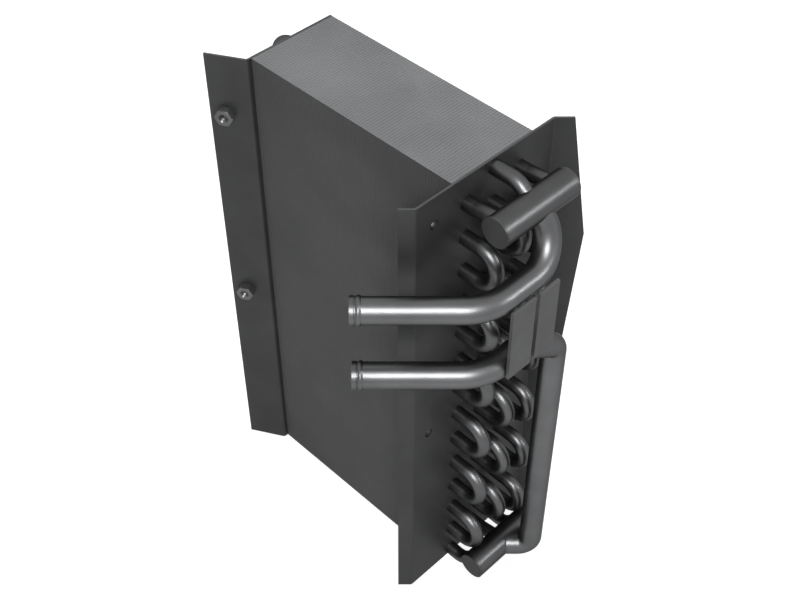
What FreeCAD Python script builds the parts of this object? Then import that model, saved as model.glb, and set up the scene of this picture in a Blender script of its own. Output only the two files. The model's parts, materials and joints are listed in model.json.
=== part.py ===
import FreeCAD, Part
import math
import os

# Heater coil: a fin pack between two sheet-metal tube plates, three columns of tubes that run to
# and fro through it, and two headers that gather the tubes into a pair of hose pipes.
# Frame: X runs along the tubes, from the hairpin side to the header side. Y runs with the air,
# from the front face to the rear face. Z is up. The origin is the centre of the fin pack's base.
# All sizes are in millimetres.

# Tube field
tube_diameter = 9.525
tube_rows = 14
tube_pitch = 25.4
column_names = ["front", "middle", "rear"]
column_pitch = 22.0
column_stagger = 12.7
first_tube_height = 6.35
tube_clearance = 0.05

# How far a cutting shape runs past the piece that it cuts
cut_margin = 1.0

# Fin pack
coil_width = 168.24
fin_pitch = 2.1
fin_thickness = 0.3
fin_edge_depth = 0.4
fin_end_depth = 0.4
end_gap = 0.15

# Sheet-metal plates
sheet_thickness = 1.5
fold_radius = 1.2
left_plate_front = 3.2
left_flange_width = 28.1
left_flange_angle = 210.0
right_plate_front = 28.8
right_plate_rear = 17.6
right_front_flange_width = 9.6
right_rear_flange_widths = [(0.0, 10.5), (186.0, 20.8), (267.5, 25.3), (355.6, 11.5)]
right_flange_angle = 45.0

# Weld nuts and their holes
nut_corners = 6
nut_width = 10.0
nut_height = 5.5
nut_bore = 5.0
nut_chamfer = 0.6
nut_hole = 6.4
nut_from_fold = 17.5
left_nut_heights = [159.5, 312.8]
right_nut_heights = [159.3, 335.9]
right_nut_setback = 14.5

# U bends
bend_reach = 11.8
leg_end = 1.0

# Headers: how far each stands above its outer tubes, and how far its bore runs past its feeders
header_diameter = 19.05
header_wall = 1.2
header_reach = 29.76
upper_header_rise = 2.65
lower_header_rise = 17.05
header_front_margin = 3.94
header_rear_margin = 0.14
cap_thickness = 1.4

# Feeder tubes between the tube field and the headers
feeder_bend = 12.0
upper_side_feeder_run = 7.0
upper_middle_feeder_run = 17.0
lower_side_feeder_run = 12.7
lower_middle_feeder_run = 9.0

# Hose pipes
pipe_diameter = 15.875
pipe_wall = 1.0
pipe_reach = 45.66
pipe_corner_front = 19.2
upper_pipe_drop = 32.54
pipe_spacing = 52.1
hose_length = 74.8
hose_angle = 45.0
pipe_corner_radius = 32.0
upper_pipe_turn = 43.5
upper_pipe_entry = 33.5
upper_pipe_turn_radius = 22.0
drop_start = 14.0
drop_height = 23.0
drop_radius = 30.0
riser_place = 44.9
riser_top_radius = 8.5
riser_foot_radius = 9.0

# Hose bead at each pipe's open end
bead_place = 5.1
bead_width = 3.0
bead_height = 0.7
collar_length = 3.1
collar_height = 0.35

# Straps that hold the two pipes together, the front one starting ahead of the front face
strap_thickness = 2.1
strap_gap = 0.06
strap_overlap = 3.1
strap_lead = 9.8
strap_front_width = 18.9
strap_spacing = 3.2
strap_rear_width = 16.7

# Worked-out sizes
tube_radius = tube_diameter / 2
pipe_radius = pipe_diameter / 2
header_radius = header_diameter / 2
columns = len(column_names)
pack_depth = columns * column_pitch
pack_height = tube_rows * tube_pitch
left_face = -coil_width / 2
right_face = coil_width / 2
front_face = -pack_depth / 2
rear_face = pack_depth / 2
header_x = right_face + header_reach
pipe_x = right_face + pipe_reach
cut_length = sheet_thickness + 2 * cut_margin
lower_header_height = first_tube_height + lower_header_rise
upper_header_height = first_tube_height + tube_pitch * (tube_rows - 1) + upper_header_rise
upper_pipe_height = upper_header_height - upper_pipe_drop
lower_pipe_height = upper_pipe_height - pipe_spacing
header_bore_front = front_face + column_pitch / 2 - tube_radius - header_front_margin
header_bore_rear = rear_face - column_pitch / 2 + tube_radius + header_rear_margin
header_bore_length = header_bore_rear - header_bore_front
half_turn = 180
full_turn = 360
up = FreeCAD.Vector(0, 0, 1)
along_x = FreeCAD.Vector(1, 0, 0)
along_y = FreeCAD.Vector(0, 1, 0)
hose_direction = FreeCAD.Vector(-math.cos(math.radians(hose_angle)), -math.sin(math.radians(hose_angle)), 0)


def point(x, y, z):
    return FreeCAD.Vector(x, y, z)


def corner_arcs(points, radii):
    """Start, middle, end and centre of the arc that rounds each inner point of a path."""
    arcs = []
    for before, corner, after, radius in zip(points, points[1:], points[2:], radii):
        back = (before - corner).normalize()
        ahead = (after - corner).normalize()
        half = back.getAngle(ahead) / 2
        trim = radius / math.tan(half)
        inward = (back + ahead).normalize()
        centre = corner + inward * (radius / math.sin(half))
        arcs.append((corner + back * trim, centre - inward * radius, corner + ahead * trim, centre))
    return arcs


def rounded_path(points, radii):
    """A wire through the points, with an arc of the given radius at each inner point."""
    edges = []
    last = points[0]
    for start, middle, end, centre in corner_arcs(points, radii):
        edges.append(Part.LineSegment(last, start).toShape())
        edges.append(Part.Arc(start, middle, end).toShape())
        last = end
    edges.append(Part.LineSegment(last, points[-1]).toShape())
    return Part.Wire(edges)


def cylinder(start, direction, length, radius):
    return Part.makeCylinder(radius, length, start, direction)


def round_face(centre, direction, radius):
    return Part.Face(Part.Wire(Part.makeCircle(radius, centre, direction)))


def bent_bar(face, runs, bends):
    """The face carried along each run in turn, and round the bend after it."""
    pieces = []
    for run, (centre, axis, angle) in zip(runs, bends):
        pieces.append(face.extrude(run))
        face = face.translated(run)
        pieces.append(face.revolve(centre, axis, angle))
        face = face.rotated(centre, axis, angle)
    pieces.append(face.extrude(runs[-1]))
    return pieces[0].multiFuse(pieces[1:])


def bent_tube(points, radii, radius):
    """A round bar of straight runs and bends through the points."""
    runs = []
    bends = []
    last = points[0]
    for start, middle, end, centre in corner_arcs(points, radii):
        from_centre = start - centre
        to_centre = end - centre
        angle = math.degrees(from_centre.getAngle(to_centre))
        runs.append(start - last)
        bends.append((centre, from_centre.cross(to_centre), angle))
        last = end
    runs.append(points[-1] - last)
    return bent_bar(round_face(points[0], runs[0], radius), runs, bends)


def tube_place(column, row):
    """Y and Z of a tube's axis. The middle column sits half a pitch higher."""
    y = front_face + column_pitch * (column + 0.5)
    z = first_tube_height + tube_pitch * row + (column_stagger if column % 2 else 0.0)
    return y, z


def all_tube_places():
    return [tube_place(column, row) for column in range(columns) for row in range(tube_rows)]


def tube_holes(start_x, length):
    """Bars that cut the tube holes through a plate or the fin pack."""
    radius = tube_radius + tube_clearance
    return [cylinder(point(start_x, y, z), along_x, length, radius) for y, z in all_tube_places()]


def fin_pack():
    """The fins as one comb: a core with a fin edge standing proud of it all round."""
    inner_start = left_face + sheet_thickness + end_gap
    inner_end = right_face - sheet_thickness - end_gap
    length = inner_end - inner_start
    core = Part.makeBox(length, pack_depth - 2 * fin_edge_depth, pack_height - 2 * fin_end_depth,
                        point(inner_start, front_face + fin_edge_depth, fin_end_depth))
    count = int((length - fin_thickness) // fin_pitch) + 1
    margin = (length - fin_thickness - fin_pitch * (count - 1)) / 2
    fins = []
    for index in range(count):
        x = inner_start + margin + fin_pitch * index
        fins.append(Part.makeBox(fin_thickness, pack_depth, pack_height, point(x, front_face, 0)))
    comb = core.multiFuse(fins)
    holes = tube_holes(inner_start - cut_margin, length + 2 * cut_margin)
    return comb.cut(Part.makeCompound(holes))


def folded_sheet(outline, radii, height):
    """A sheet to the left of its outline in plan, folded at the outline's inner points."""
    path = rounded_path(outline, radii)
    section = path.makeOffset2D(-sheet_thickness, 0, True, True)
    return section.extrude(up * height)


def left_flange_direction():
    angle = math.radians(left_flange_angle)
    return point(math.cos(angle), math.sin(angle), 0)


def left_fold():
    return point(left_face + sheet_thickness, front_face - left_plate_front, 0)


def left_end_plate():
    """The hairpin side's plate, with a wide fixing flange along its front edge."""
    fold = left_fold()
    tip = fold + left_flange_direction() * left_flange_width
    rear = point(fold.x, rear_face, 0)
    plate = folded_sheet([tip, fold, rear], [fold_radius + sheet_thickness], pack_height)
    holes = tube_holes(left_face - cut_margin, cut_length)
    for z in left_nut_heights:
        seat, normal = left_nut_seat(z)
        holes.append(cylinder(seat + normal * cut_margin, normal * -1, cut_length, nut_hole / 2))
    return plate.cut(Part.makeCompound(holes))


def left_nut_seat(height):
    """Centre of a nut's seat on the left flange's front side, and the way that side faces."""
    direction = left_flange_direction()
    normal = up.cross(direction)
    seat = left_fold() + direction * nut_from_fold + point(0, 0, height)
    return seat, normal


def right_tube_plate():
    """The header side's plate: a narrow front flange, and a rear flange that widens at mid height."""
    slope = point(math.cos(math.radians(right_flange_angle)), math.sin(math.radians(right_flange_angle)), 0)
    front_fold = point(right_face, front_face - right_plate_front, 0)
    rear_fold = point(right_face, rear_face + right_plate_rear, 0)
    widest = max(width for height, width in right_rear_flange_widths)
    outline = [front_fold - slope * right_front_flange_width, front_fold,
               rear_fold, rear_fold + slope * widest]
    plate = folded_sheet(outline, [fold_radius + sheet_thickness, fold_radius], pack_height)
    holes = tube_holes(right_face - sheet_thickness - cut_margin, cut_length)
    for z in right_nut_heights:
        seat = right_nut_seat(z)
        holes.append(cylinder(seat - along_x * cut_margin, along_x, cut_length, nut_hole / 2))
    plate = plate.cut(Part.makeCompound(holes))
    return plate.cut(rear_flange_trim(rear_fold, slope, widest))


def rear_flange_trim(fold, slope, widest):
    """The blank's waste beside the rear flange's slanting free edge."""
    beyond = fold + slope * (widest + cut_margin)
    side = slope.cross(up) * (sheet_thickness + cut_margin)
    corners = [fold + slope * width + up * height for height, width in right_rear_flange_widths]
    corners[0] = corners[0] - up * cut_margin
    corners[-1] = corners[-1] + up * cut_margin
    corners += [beyond + up * (pack_height + cut_margin), beyond - up * cut_margin, corners[0]]
    face = Part.Face(Part.makePolygon([corner - side for corner in corners]))
    return face.extrude(side * 2)


def right_nut_seat(height):
    """Centre of a nut's seat on the right plate's inner side."""
    return point(right_face - sheet_thickness, front_face - right_nut_setback, height)


def weld_nut(seat, normal):
    """A hexagon nut with a bevelled free end, standing on its seat."""
    corner_radius = nut_width / 2 / math.cos(math.pi / nut_corners)
    angles = [math.radians(full_turn / nut_corners * index) for index in range(nut_corners + 1)]
    ring = [point(corner_radius * math.cos(angle), corner_radius * math.sin(angle), 0) for angle in angles]
    body = Part.Face(Part.makePolygon(ring)).extrude(up * nut_height)
    cone_height = nut_height - nut_chamfer
    envelope = Part.makeCylinder(corner_radius, cone_height)
    cone = Part.makeCone(corner_radius, corner_radius - 2 * nut_chamfer, nut_chamfer,
                         point(0, 0, cone_height))
    body = body.common(envelope.fuse(cone))
    body = body.cut(cylinder(up * -cut_margin, up, nut_height + 2 * cut_margin, nut_bore / 2))
    body.Placement = FreeCAD.Placement(seat, FreeCAD.Rotation(up, normal))
    return body


def left_weld_nuts():
    nuts = []
    for z in left_nut_heights:
        seat, normal = left_nut_seat(z)
        nuts.append(weld_nut(seat, normal))
    return Part.makeCompound(nuts)


def right_weld_nuts():
    return Part.makeCompound([weld_nut(right_nut_seat(z), along_x * -1) for z in right_nut_heights])


def u_tube(column, row, leg_x, bend_x):
    """Two legs from leg_x to bend_x, one row apart, and the half ring that joins them there."""
    y, low = tube_place(column, row)
    outward = point(bend_x - leg_x, 0, 0)
    half_ring = (point(bend_x, y, low + tube_pitch / 2), outward.cross(up), half_turn)
    face = round_face(point(leg_x, y, low), outward, tube_radius)
    return bent_bar(face, [outward, outward * -1], [half_ring])


def hairpin(column, row):
    """One long U tube: two legs through the whole coil, and a bend outside the left plate."""
    return u_tube(column, row, right_face + leg_end, left_face)


def return_bend(column, row):
    """A short U tube outside the right plate, which joins one hairpin to the next."""
    return u_tube(column, row, right_face + leg_end, right_face + bend_reach)


def header_bore(height):
    """The hollow inside a header, between its caps."""
    start = point(header_x, header_bore_front, height)
    return cylinder(start, along_y, header_bore_length, header_radius - header_wall)


def header_body(height):
    return cylinder(point(header_x, header_bore_front, height), along_y, header_bore_length, header_radius)


def header_caps(height):
    """The two discs that close a header's ends."""
    starts = [header_bore_front - cap_thickness, header_bore_rear]
    return Part.makeCompound([cylinder(point(header_x, y, height), along_y, cap_thickness, header_radius)
                              for y in starts])


def feeder(column, row, run, height):
    """A tube from the right plate to a header, trimmed to the header's hollow."""
    y, z = tube_place(column, row)
    leg_x = right_face + leg_end
    points = [point(leg_x, y, z), point(right_face + run, y, z), point(header_x, y, height)]
    tube = bent_tube(points, [feeder_bend], tube_radius)
    return tube.cut(header_bore(height))


def upper_pipe_points():
    corner = point(pipe_x, front_face - pipe_corner_front, upper_pipe_height)
    turn = point(pipe_x, front_face + upper_pipe_turn, upper_pipe_height)
    entry = point(header_x, front_face + upper_pipe_entry, upper_header_height)
    return [corner + hose_direction * hose_length, corner, turn, entry]


def lower_pipe_points():
    corner = point(pipe_x, front_face - pipe_corner_front, lower_pipe_height)
    drop = point(pipe_x, front_face + drop_start, lower_pipe_height)
    riser_y = front_face + riser_place
    riser_top = point(pipe_x, riser_y, lower_pipe_height - drop_height)
    riser_foot = point(pipe_x, riser_y, lower_header_height)
    inward = pipe_x - header_x
    entry = point(header_x, riser_y - inward * math.tan(math.radians(hose_angle)), lower_header_height)
    return [corner + hose_direction * hose_length, corner, drop, riser_top, riser_foot, entry]


def hose_bead(start):
    """The collar, and behind it the round bead that holds a hose, as one turned profile."""
    direction = hose_direction * -1
    middle_of_wall = pipe_radius - pipe_wall / 2
    collar_edge = pipe_radius + collar_height
    slope = collar_height
    profile = [point(middle_of_wall, 0, 0), point(collar_edge - slope, 0, 0), point(collar_edge, 0, slope),
               point(collar_edge, 0, collar_length - slope), point(collar_edge - slope, 0, collar_length),
               point(middle_of_wall, 0, collar_length), point(middle_of_wall, 0, 0)]
    collar = Part.Face(Part.makePolygon(profile)).revolve(point(0, 0, 0), up, full_turn)
    low = point(pipe_radius, 0, bead_place - bead_width / 2)
    top = point(pipe_radius + bead_height, 0, bead_place)
    high = point(pipe_radius, 0, bead_place + bead_width / 2)
    bead_wire = Part.Wire([Part.Arc(low, top, high).toShape(),
                           Part.makeLine(high, point(middle_of_wall, 0, high.z)),
                           Part.makeLine(point(middle_of_wall, 0, high.z), point(middle_of_wall, 0, low.z)),
                           Part.makeLine(point(middle_of_wall, 0, low.z), low)])
    bead = Part.Face(bead_wire).revolve(point(0, 0, 0), up, full_turn)
    ring = collar.fuse(bead)
    ring.Placement = FreeCAD.Placement(start, FreeCAD.Rotation(up, direction))
    return ring


def hose_pipe(points, radii, header_height):
    """A hollow pipe with a hose bead, its other end cut to the header's round side."""
    outer = bent_tube(points, radii, pipe_radius)
    bore = bent_tube(points, radii, pipe_radius - pipe_wall)
    pipe = outer.fuse(hose_bead(points[0])).cut(bore)
    return pipe.cut(header_body(header_height))


def header(height, feeders, pipe_points, pipe_radii):
    """A header tube with a hole for each feeder and one for its hose pipe."""
    body = header_body(height).cut(header_bore(height))
    pipe_bore = bent_tube(pipe_points, pipe_radii, pipe_radius - pipe_wall)
    return body.cut(Part.makeCompound(feeders + [pipe_bore]))


def pipe_strap(start, width):
    """A flat strip that stands against the outer sides of both pipes."""
    corner = point(pipe_x + pipe_radius + strap_gap, start, lower_pipe_height - strap_overlap)
    return Part.makeBox(strap_thickness, width, pipe_spacing, corner)


def single_solid(shape):
    """The one solid of a result, with its seams cleaned."""
    shape = shape.removeSplitter()
    return shape.Solids[0] if len(shape.Solids) == 1 else shape


def build_parts():
    parts = {}
    parts["fin_pack"] = fin_pack()
    parts["left_end_plate"] = left_end_plate()
    parts["right_tube_plate"] = right_tube_plate()
    parts["left_weld_nuts"] = left_weld_nuts()
    parts["right_weld_nuts"] = right_weld_nuts()
    for column, name in enumerate(column_names):
        for index in range(tube_rows // 2):
            parts[f"hairpin_{name}_{index + 1}"] = hairpin(column, 2 * index)
        for index in range(tube_rows // 2 - 1):
            parts[f"return_bend_{name}_{index + 1}"] = return_bend(column, 2 * index + 1)
    upper_feeders = []
    lower_feeders = []
    for column, name in enumerate(column_names):
        middle = column % 2 == 1
        upper_run = upper_middle_feeder_run if middle else upper_side_feeder_run
        lower_run = lower_middle_feeder_run if middle else lower_side_feeder_run
        upper = feeder(column, tube_rows - 1, upper_run, upper_header_height)
        lower = feeder(column, 0, lower_run, lower_header_height)
        parts[f"upper_feeder_{name}"] = upper
        parts[f"lower_feeder_{name}"] = lower
        upper_feeders.append(upper)
        lower_feeders.append(lower)
    upper_radii = [pipe_corner_radius, upper_pipe_turn_radius]
    lower_radii = [pipe_corner_radius, drop_radius, riser_top_radius, riser_foot_radius]
    parts["upper_hose_pipe"] = hose_pipe(upper_pipe_points(), upper_radii, upper_header_height)
    parts["lower_hose_pipe"] = hose_pipe(lower_pipe_points(), lower_radii, lower_header_height)
    parts["upper_header"] = header(upper_header_height, upper_feeders, upper_pipe_points(), upper_radii)
    parts["lower_header"] = header(lower_header_height, lower_feeders, lower_pipe_points(), lower_radii)
    parts["upper_header_caps"] = header_caps(upper_header_height)
    parts["lower_header_caps"] = header_caps(lower_header_height)
    strap_start = front_face - strap_lead
    parts["pipe_strap_front"] = pipe_strap(strap_start, strap_front_width)
    parts["pipe_strap_rear"] = pipe_strap(strap_start + strap_front_width + strap_spacing, strap_rear_width)
    return parts


os.makedirs("parts", exist_ok=True)
for node, shape in build_parts().items():
    solid = single_solid(shape)
    solid.exportStep(f"parts/{node}.step")
    print(node, len(solid.Solids), round(solid.Volume, 1), solid.isValid())
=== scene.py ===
import bpy
import json
import math
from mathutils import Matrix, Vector


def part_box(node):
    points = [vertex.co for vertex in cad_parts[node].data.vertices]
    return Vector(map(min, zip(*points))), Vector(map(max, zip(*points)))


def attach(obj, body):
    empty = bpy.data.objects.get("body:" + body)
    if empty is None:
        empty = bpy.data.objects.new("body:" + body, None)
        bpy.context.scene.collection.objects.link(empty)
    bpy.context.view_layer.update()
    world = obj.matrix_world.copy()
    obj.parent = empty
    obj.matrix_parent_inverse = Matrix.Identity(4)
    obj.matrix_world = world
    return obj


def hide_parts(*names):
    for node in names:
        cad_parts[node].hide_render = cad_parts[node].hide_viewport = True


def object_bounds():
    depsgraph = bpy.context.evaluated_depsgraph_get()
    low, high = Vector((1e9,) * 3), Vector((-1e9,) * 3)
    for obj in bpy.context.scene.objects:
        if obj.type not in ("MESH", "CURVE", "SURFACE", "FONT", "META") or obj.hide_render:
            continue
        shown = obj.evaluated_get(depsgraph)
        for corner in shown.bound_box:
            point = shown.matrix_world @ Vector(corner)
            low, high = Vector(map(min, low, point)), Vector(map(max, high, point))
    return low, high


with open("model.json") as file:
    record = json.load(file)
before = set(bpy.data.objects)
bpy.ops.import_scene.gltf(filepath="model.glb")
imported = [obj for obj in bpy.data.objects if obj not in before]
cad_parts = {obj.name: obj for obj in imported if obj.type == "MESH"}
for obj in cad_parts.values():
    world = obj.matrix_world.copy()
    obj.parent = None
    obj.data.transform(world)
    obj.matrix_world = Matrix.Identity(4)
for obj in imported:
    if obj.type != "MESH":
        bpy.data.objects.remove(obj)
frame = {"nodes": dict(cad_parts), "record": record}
cad_low, cad_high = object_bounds()

# Heater coil: a finish for every CAD node, finer fins and weld nuts in the place of the plain ones,
# and the photograph's camera, lights and white background. Lengths are in metres.

WHITE = (1.0, 1.0, 1.0, 1.0)
MM_PER_METRE = 1000

# Photograph's camera: tilt and turn in degrees, lens and sensor in millimetres
CAMERA_PLACE = (0.43580, -0.42526, 0.79488)
CAMERA_TILT = 45.0
CAMERA_TURN = 45.0
CAMERA_LENS = 57.56
SENSOR_WIDTH = 36.0

# Finishes: colour, how metallic, roughness and its spread, grains per metre, grain depth
FINISHES = {
    "fins": dict(colour=0.095, metallic=0.1, roughness=0.55, spread=0.04,
                 grain=260.0, depth=0.00002),
    "plate_steel": dict(colour=0.058, metallic=0.5, roughness=0.45, spread=0.05,
                        grain=420.0, depth=0.00002),
    "nut_steel": dict(colour=0.130, metallic=0.6, roughness=0.34, spread=0.08,
                      grain=900.0, depth=0.00001),
    "circuit_tube": dict(colour=0.095, metallic=1.0, roughness=0.37, spread=0.03,
                         grain=600.0, depth=0.00001),
    "hose_pipe_metal": dict(colour=0.120, metallic=1.0, roughness=0.36, spread=0.03,
                            grain=500.0, depth=0.00001),
    "header_metal": dict(colour=0.085, metallic=1.0, roughness=0.36, spread=0.04,
                         grain=500.0, depth=0.00001),
    "cap_metal": dict(colour=0.070, metallic=0.8, roughness=0.40, spread=0.05,
                      grain=700.0, depth=0.00001),
    "strap_metal": dict(colour=0.110, metallic=0.6, roughness=0.42, spread=0.05,
                        grain=600.0, depth=0.00001),
}

# For all finishes: the colour's red, green and blue, the brightness of the shine at a slant, and the
# shine of what isn't metallic
WARMTH = (0.99, 1.0, 1.02)
EDGE_TINT = 0.4
COAT_REFLECTION = 0.08

# Stains: how many grains wide, how detailed, where in the noise they start and end, and their shades
STAIN_GRAINS = 12
STAIN_DETAIL = 3.0
STAIN_LIMITS = (0.3, 0.7)
STAIN_SHADES = (0.9, 1.1)

# Grain: how detailed, and how strong
GRAIN_DETAIL = 4.0
GRAIN_STRENGTH = 0.5

# Fins, and how far their edges stand proud of the block between them
FIN_PITCH = 0.0021
FIN_THICKNESS = 0.0003
FIN_EDGE = 0.00012

# Weld nuts and their threads
NUT_CORNERS = 6
NUT_WIDTH = 0.011
NUT_BEVEL = 0.0007
NUT_SEGMENTS = 72
BORE_CHAMFER = 0.0006
THREAD_PITCH = 0.001
THREAD_DEPTH = 0.0004

# Lamps: place, power in watts, size, whether they light the surfaces and whether the metals mirror them
AIM = Vector((0.0, 0.0, 0.18))
LAMPS = {
    "overhead": dict(place=(-0.25, 0.25, 1.9), power=58.0, size=0.8, lights=True, mirrored=False),
    "camera_side": dict(place=(0.75, -0.74, 1.20), power=11.0, size=0.6, lights=True, mirrored=False),
    "camera_shine": dict(place=(0.75, -0.74, 1.20), power=26.0, size=0.28, lights=False, mirrored=True),
    "low_front": dict(place=(0.45, -0.45, 0.03), power=1.8, size=0.3, lights=True, mirrored=False),
    "rear_right": dict(place=(1.16, 0.70, 0.90), power=5.0, size=0.3, lights=False, mirrored=True),
}

# Background: the light that it sheds, how bright it looks, and the floor's grey, glow and width
WORLD_LIGHT = 0.06
BACKGROUND = 1.0
FLOOR_COLOUR = 0.22
FLOOR_GLOW = 0.90
FLOOR_SIZE = 12.0


def grey(value):
    return (value, value, value, 1.0)


def tinted(value):
    return [value * tint for tint in WARMTH] + [1.0]


def placed(name, data):
    """A new object in the scene."""
    thing = bpy.data.objects.new(name, data)
    bpy.context.scene.collection.objects.link(thing)
    return thing


def new_material(name):
    material = bpy.data.materials.new(name)
    material.use_nodes = True
    material.node_tree.nodes.clear()
    return material, material.node_tree.nodes, material.node_tree.links


def object_noise(nodes, links, scale, detail):
    """A noise over the object's own coordinates."""
    place = nodes.new("ShaderNodeTexCoord")
    noise = nodes.new("ShaderNodeTexNoise")
    noise.inputs["Scale"].default_value = scale
    noise.inputs["Detail"].default_value = detail
    links.new(place.outputs["Object"], noise.inputs["Vector"])
    return noise.outputs["Fac"]


def ranged(nodes, links, source, low, high):
    """A value from 0 to 1 spread between two limits."""
    spread = nodes.new("ShaderNodeMapRange")
    spread.inputs["To Min"].default_value = low
    spread.inputs["To Max"].default_value = high
    links.new(source, spread.inputs["Value"])
    return spread.outputs["Result"]


def metal(slot):
    """A dark metal whose colour, roughness and surface vary a little, as on drawn or rolled stock."""
    finish = FINISHES[slot]
    roughness = finish["roughness"]
    spread = finish["spread"]
    material, nodes, links = new_material(slot)
    output = nodes.new("ShaderNodeOutputMaterial")
    shader = nodes.new("ShaderNodeBsdfPrincipled")
    shader.inputs["Metallic"].default_value = finish["metallic"]
    shader.inputs["Specular Tint"].default_value = grey(EDGE_TINT)
    shader.inputs["Specular IOR Level"].default_value = COAT_REFLECTION
    stain = object_noise(nodes, links, finish["grain"] / STAIN_GRAINS, STAIN_DETAIL)
    ramp = nodes.new("ShaderNodeValToRGB")
    for stop, position, shade in zip(ramp.color_ramp.elements, STAIN_LIMITS, STAIN_SHADES):
        stop.position = position
        stop.color = tinted(finish["colour"] * shade)
    links.new(stain, ramp.inputs["Fac"])
    links.new(ramp.outputs["Color"], shader.inputs["Base Color"])
    rough = ranged(nodes, links, stain, roughness - spread, roughness + spread)
    links.new(rough, shader.inputs["Roughness"])
    grain = object_noise(nodes, links, finish["grain"], GRAIN_DETAIL)
    bump = nodes.new("ShaderNodeBump")
    bump.inputs["Distance"].default_value = finish["depth"]
    bump.inputs["Strength"].default_value = GRAIN_STRENGTH
    links.new(grain, bump.inputs["Height"])
    links.new(bump.outputs["Normal"], shader.inputs["Normal"])
    links.new(shader.outputs["BSDF"], output.inputs["Surface"])
    return material


def dress_nodes(materials):
    """Gives every CAD node the material of its slot."""
    for part in frame["record"]["subparts"]:
        mesh = frame["nodes"][part["node"]].data
        mesh.materials.clear()
        mesh.materials.append(materials[part["material_slot"]])


def new_piece(node, points, faces, material):
    """A piece that is seen in the place of a CAD node."""
    name = f"fine_{node}"
    mesh = bpy.data.meshes.new(name)
    mesh.from_pydata(points, [], faces)
    mesh.materials.append(material)
    piece = placed(name, mesh)
    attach(piece, "root")
    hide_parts(node)


def bridged(loops, closed):
    """The loops' points, and a quad between each pair of points on neighbouring loops."""
    count = len(loops[0])
    rings = len(loops) if closed else len(loops) - 1
    points = [place for loop in loops for place in loop]
    faces = []
    for ring in range(rings):
        start = ring * count
        follow = (ring + 1) % len(loops) * count
        for index in range(count):
            after = (index + 1) % count
            faces.append((start + index, start + after, follow + after, follow + index))
    return points, faces


def outline_at(x, low, high, inset):
    """The outline in Y and Z of the box from low to high, drawn in by the inset and placed at x."""
    front = low.y + inset
    rear = high.y - inset
    foot = low.z + inset
    head = high.z - inset
    return [(x, front, foot), (x, rear, foot), (x, rear, head), (x, front, head)]


def fine_fins(material):
    """The fin pack with shallow gaps between the fins, because it looks almost plain from a step away."""
    low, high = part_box("fin_pack")
    free = high.x - low.x - FIN_THICKNESS
    count = int(free // FIN_PITCH) + 1
    first = low.x + (free - FIN_PITCH * (count - 1)) / 2
    steps = [(low.x, FIN_EDGE)]
    for index in range(count):
        start = first + FIN_PITCH * index
        end = start + FIN_THICKNESS
        steps += [(start, FIN_EDGE), (start, 0.0), (end, 0.0), (end, FIN_EDGE)]
    steps.append((high.x, FIN_EDGE))
    loops = [outline_at(x, low, high, inset) for x, inset in steps]
    points, faces = bridged(loops, closed=False)
    sides = len(loops[0])
    corners = range(len(points))
    faces += [tuple(corners[sides - 1::-1]), tuple(corners[-sides:])]
    new_piece("fin_pack", points, faces, material)


def hexagon_radius(angle):
    """From a nut's axis to its side, where the middle of a flat side is at angle 0."""
    side = 2 * math.pi / NUT_CORNERS
    return NUT_WIDTH / 2 / math.cos((angle + side / 2) % side - side / 2)


def nut_profile(angle, height, bore):
    """Radius and height of each ring of a nut at one angle, round its outside and back down its thread."""
    outer = hexagon_radius(angle)
    corner = hexagon_radius(math.pi / NUT_CORNERS)
    rim = corner - 2 * NUT_BEVEL
    shoulder = height - NUT_BEVEL * (outer - rim) / (corner - rim)
    rings = [(bore, 0.0), (outer, 0.0), (outer, shoulder), (rim, height), (bore + BORE_CHAMFER, height)]
    thread_top = height - BORE_CHAMFER
    for turn in range(int(thread_top / THREAD_PITCH)):
        rings.append((bore, thread_top - THREAD_PITCH * turn))
        rings.append((bore + THREAD_DEPTH, thread_top - THREAD_PITCH * (turn + 0.5)))
    return rings


def fine_nut(mount):
    """Points and faces of the nut round a threaded hole of the record."""
    height = mount["dims"]["length_mm"] / MM_PER_METRE
    bore = mount["dims"]["r_mm"] / MM_PER_METRE
    outward = -Vector(mount["axis"]).normalized()
    up = Vector((0.0, 0.0, 1.0))
    side = up.cross(outward)
    seat = Vector(mount["pos_m"]) - outward * height / 2
    angles = [2 * math.pi * step / NUT_SEGMENTS for step in range(NUT_SEGMENTS)]
    rays = [up * math.cos(angle) + side * math.sin(angle) for angle in angles]
    profiles = [nut_profile(angle, height, bore) for angle in angles]
    loops = []
    for ring in zip(*profiles):
        loops.append([seat + outward * level + ray * radius for ray, (radius, level) in zip(rays, ring)])
    return bridged(loops, closed=True)


def fine_nuts(side, material):
    """The weld nuts of one side, with their threads and with a flat side on top."""
    points = []
    faces = []
    for mount in frame["record"]["mounts"]:
        if mount["kind"] == "threaded_hole" and mount["name"].startswith(side):
            more_points, more_faces = fine_nut(mount)
            faces += [tuple(index + len(points) for index in face) for face in more_faces]
            points += more_points
    new_piece(f"{side}_weld_nuts", points, faces, material)


def shown_background(nodes, links):
    """1 for the rays that see the background directly, in a mirror or through glass."""
    path = nodes.new("ShaderNodeLightPath")
    seen = path.outputs["Is Camera Ray"]
    for ray in ("Is Glossy Ray", "Is Transmission Ray"):
        either = nodes.new("ShaderNodeMath")
        either.operation = "MAXIMUM"
        links.new(seen, either.inputs[0])
        links.new(path.outputs[ray], either.inputs[1])
        seen = either.outputs["Value"]
    return seen


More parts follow.
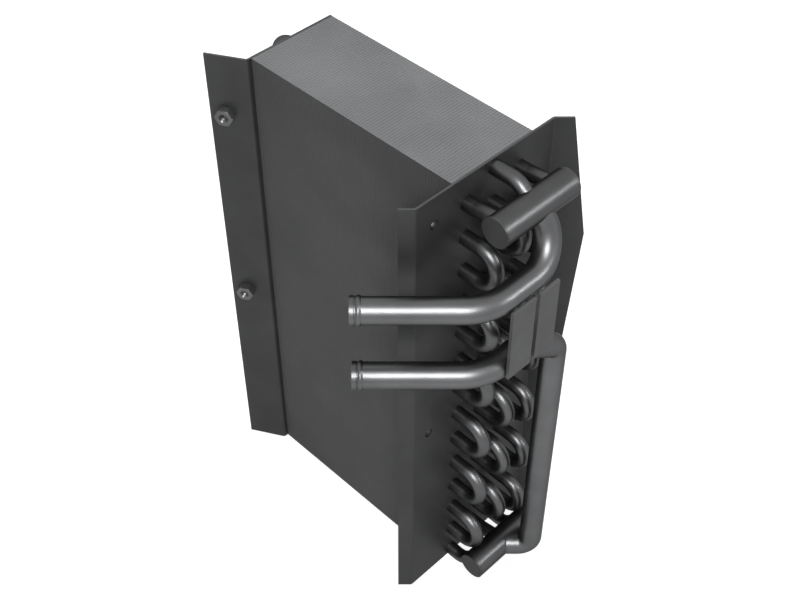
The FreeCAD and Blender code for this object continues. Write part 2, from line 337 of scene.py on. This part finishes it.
def make_floor():
    """A wide floor that looks nearly white, but sheds no more light than its grey."""
    mesh = bpy.data.meshes.new("floor")
    half = FLOOR_SIZE / 2
    level = cad_low.z
    corners = [(-half, -half, level), (half, -half, level), (half, half, level), (-half, half, level)]
    mesh.from_pydata(corners, [], [(0, 1, 2, 3)])
    floor = placed("floor", mesh)
    material, nodes, links = new_material("floor")
    output = nodes.new("ShaderNodeOutputMaterial")
    shader = nodes.new("ShaderNodeBsdfPrincipled")
    shader.inputs["Base Color"].default_value = grey(FLOOR_COLOUR)
    shader.inputs["Roughness"].default_value = 1.0
    shader.inputs["Specular IOR Level"].default_value = 0.0
    shader.inputs["Emission Color"].default_value = WHITE
    glow = ranged(nodes, links, shown_background(nodes, links), 0.0, FLOOR_GLOW)
    links.new(glow, shader.inputs["Emission Strength"])
    links.new(shader.outputs["BSDF"], output.inputs["Surface"])
    mesh.materials.append(material)


def make_world():
    """A background that looks white, but sheds little light."""
    world = bpy.data.worlds.new("studio")
    bpy.context.scene.world = world
    world.use_nodes = True
    nodes = world.node_tree.nodes
    links = world.node_tree.links
    nodes.clear()
    output = nodes.new("ShaderNodeOutputWorld")
    sky = nodes.new("ShaderNodeBackground")
    sky.inputs["Color"].default_value = WHITE
    strength = ranged(nodes, links, shown_background(nodes, links), WORLD_LIGHT, BACKGROUND)
    links.new(strength, sky.inputs["Strength"])
    links.new(sky.outputs["Background"], output.inputs["Surface"])


def make_lamps():
    for name, values in LAMPS.items():
        light = bpy.data.lights.new(name, "AREA")
        light.energy = values["power"]
        light.size = values["size"]
        lamp = placed(name, light)
        lamp.visible_diffuse = values["lights"]
        lamp.visible_glossy = values["mirrored"]
        lamp.location = values["place"]
        lamp.rotation_euler = (AIM - Vector(values["place"])).to_track_quat("-Z", "Y").to_euler()


def make_camera():
    data = bpy.data.cameras.new("photograph")
    data.lens = CAMERA_LENS
    data.sensor_width = SENSOR_WIDTH
    camera = placed("photograph", data)
    camera.location = CAMERA_PLACE
    camera.rotation_euler = (math.radians(CAMERA_TILT), 0.0, math.radians(CAMERA_TURN))
    bpy.context.scene.camera = camera


make_camera()
bpy.context.scene.view_settings.view_transform = "Standard"
finishes = {slot: metal(slot) for slot in FINISHES}
dress_nodes(finishes)
fine_fins(finishes["fins"])
for plate_side in ("left", "right"):
    fine_nuts(plate_side, finishes["nut_steel"])
make_floor()
make_world()
make_lamps()
